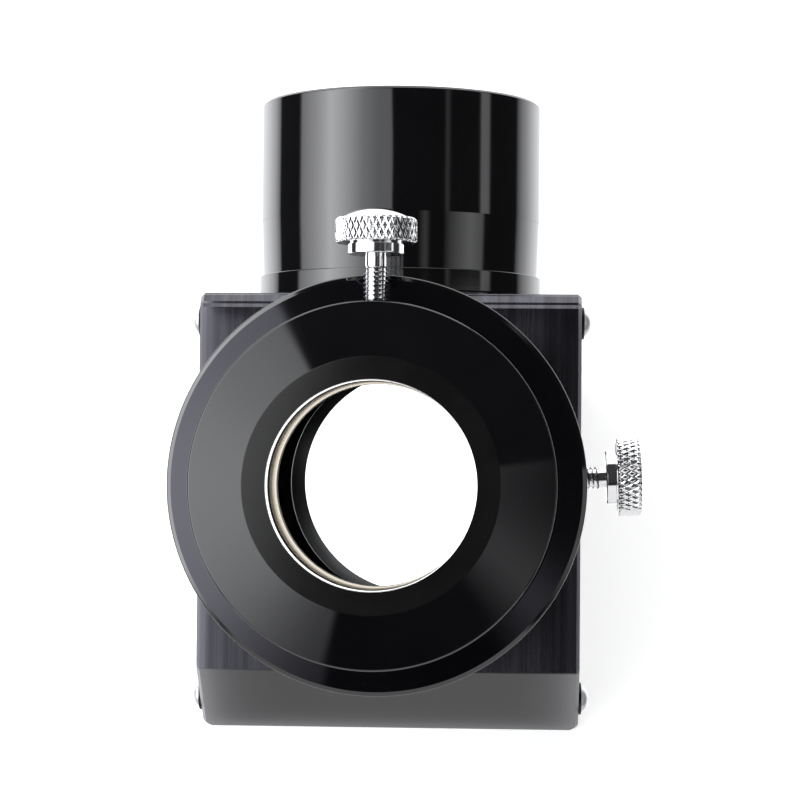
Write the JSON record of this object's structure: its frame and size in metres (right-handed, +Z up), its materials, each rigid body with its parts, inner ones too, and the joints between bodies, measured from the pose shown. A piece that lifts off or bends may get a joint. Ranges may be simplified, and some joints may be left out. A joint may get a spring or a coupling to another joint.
{
  "type": "star diagonal",
  "caption": "Right-angle mirror star diagonal for 50.8 mm focusers, with a 31.75 mm eyepiece adapter, compression rings and knurled thumbscrews.",
  "frame": {"origin": "on the flat back of the mirror cell, right under the crossing of the two optical axes on the mirror's face (15.05 mm above it)", "axes": "+Z up from the flat back the part lies on; +X to the right as seen from the eyepiece side; the eyepiece axis points along (0, -1, 1) and the nosepiece axis along (0, 1, 1)"},
  "size_m": [0.0776, 0.1413, 0.0991],
  "materials": {
    "brushed_black": "black anodised, brushed",
    "satin_black": "black anodised, satin",
    "polished_black": "black anodised, polished",
    "black_steel": "blackened steel",
    "bright_steel": "bright stainless steel",
    "bright_chrome": "bright chrome plate",
    "brass_ring": "bright turned brass",
    "mirror_coating": "dielectric coating on a polished glass plate",
    "black_rubber": "matt black"
  },
  "bodies": {
    "root": {"body_block": "brushed_black", "mirror_cell": "satin_black", "left_side_plate": "satin_black", "right_side_plate": "satin_black", "left_side_screws": "bright_steel", "right_side_screws": "bright_steel", "left_side_washers": "black_steel", "right_side_washers": "black_steel", "cell_screws": "bright_steel", "mirror": "mirror_coating", "mirror_pads": "black_rubber", "mirror_spacers": "black_rubber", "mirror_gasket": "black_rubber", "nosepiece": "polished_black", "eyepiece_holder": "polished_black"},
    "compression_ring": {"holder_compression_ring": "brass_ring"},
    "adapter": {"adapter_body": "polished_black", "adapter_compression_ring": "brass_ring"},
    "holder_screw_stud": {"holder_screw_stud": "bright_chrome"},
    "holder_screw_knob": {"holder_screw_knob": "bright_chrome"},
    "adapter_screw_stud": {"adapter_screw_stud": "bright_chrome"},
    "adapter_screw_knob": {"adapter_screw_knob": "bright_chrome"}
  },
  "joints": [
    {"name": "adapter_turn", "type": "hinge", "parent": "root", "child": "compression_ring", "pos_m": [0, -0.03535, 0.0504], "axis": [0, -0.7071, 0.7071], "continuous": true},
    {"name": "adapter_pull", "type": "slide", "parent": "compression_ring", "child": "adapter", "axis": [0, -0.7071, 0.7071], "range_m": [0, 0.03]},
    {"name": "holder_screw_travel", "type": "slide", "parent": "root", "child": "holder_screw_stud", "axis": [0.9992, 0.0284, 0.0284], "range_m": [0, 0.005]},
    {"name": "holder_screw_turn", "type": "hinge", "parent": "holder_screw_stud", "child": "holder_screw_knob", "pos_m": [0.03797, -0.03428, 0.05148], "axis": [0.9992, 0.0284, 0.0284], "range_deg": [0, 2520]},
    {"name": "adapter_screw_travel", "type": "slide", "parent": "adapter", "child": "adapter_screw_stud", "axis": [0, 0.7071, 0.7071], "range_m": [0, 0.005]},
    {"name": "adapter_screw_turn", "type": "hinge", "parent": "adapter_screw_stud", "child": "adapter_screw_knob", "pos_m": [0, -0.0239, 0.09269], "axis": [0, 0.7071, 0.7071], "range_deg": [0, 2520]}
  ],
  "couplings": [
    {"joint": "holder_screw_travel", "follows": "holder_screw_turn", "m_per_rad": 0.00011141},
    {"joint": "adapter_screw_travel", "follows": "adapter_screw_turn", "m_per_rad": 0.00011141}
  ]
}
